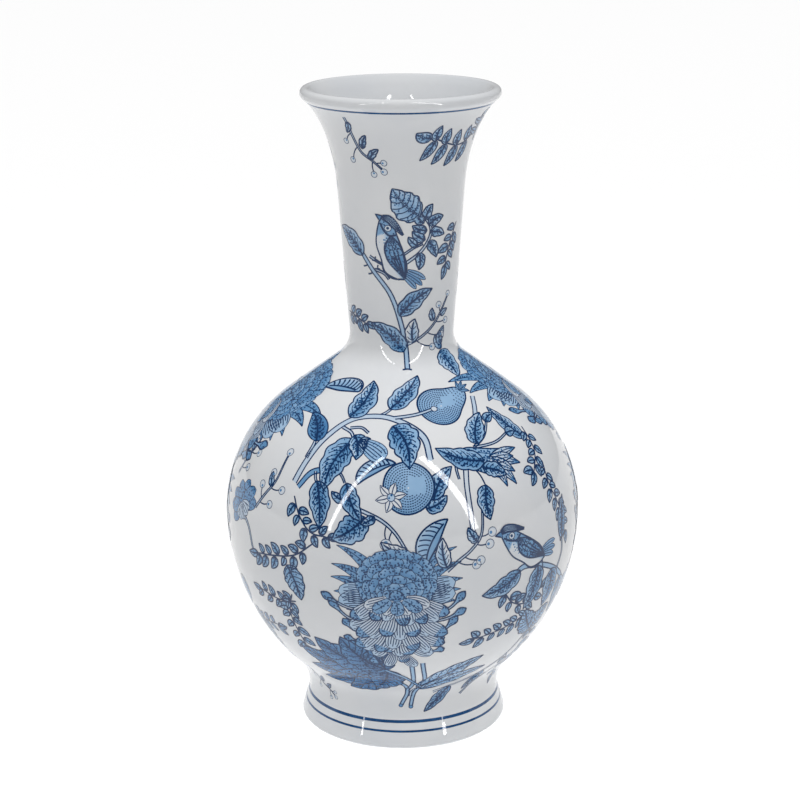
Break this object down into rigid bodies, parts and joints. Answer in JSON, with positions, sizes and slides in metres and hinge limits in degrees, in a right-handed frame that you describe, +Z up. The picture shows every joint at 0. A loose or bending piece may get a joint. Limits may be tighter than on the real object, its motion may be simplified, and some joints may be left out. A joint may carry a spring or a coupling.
{
  "type": "bottle vase",
  "caption": "Tall porcelain bottle vase with a round belly, a trumpet neck and a flared foot ring, with a blue bird-and-flower pattern, to hold cut stems in water.",
  "frame": {"origin": "centre of the foot, on the ground", "axes": "+Z up the vase's axis, +X to the right and -Y to the front, the side with the large chrysanthemum"},
  "size_m": [0.1942, 0.1942, 0.3556],
  "materials": {
    "porcelain": "glossy clear glaze over white porcelain, with a faint blue cast",
    "slip": "matt white porcelain slip in the lute joints, under the glaze outside",
    "foot_biscuit": "matt unglazed porcelain on the edge of the foot",
    "cobalt_line": "dark cobalt line under glossy glaze",
    "cobalt_wash": "pale to middle cobalt wash under glossy glaze"
  },
  "bodies": {
    "root": {"foot_ring": "porcelain", "foot_slip": "slip", "lower_belly": "porcelain", "belly_slip": "slip", "upper_belly": "porcelain", "neck_slip": "slip", "neck": "porcelain", "lip_slip": "slip", "lip": "porcelain"}
  },
  "joints": []
}
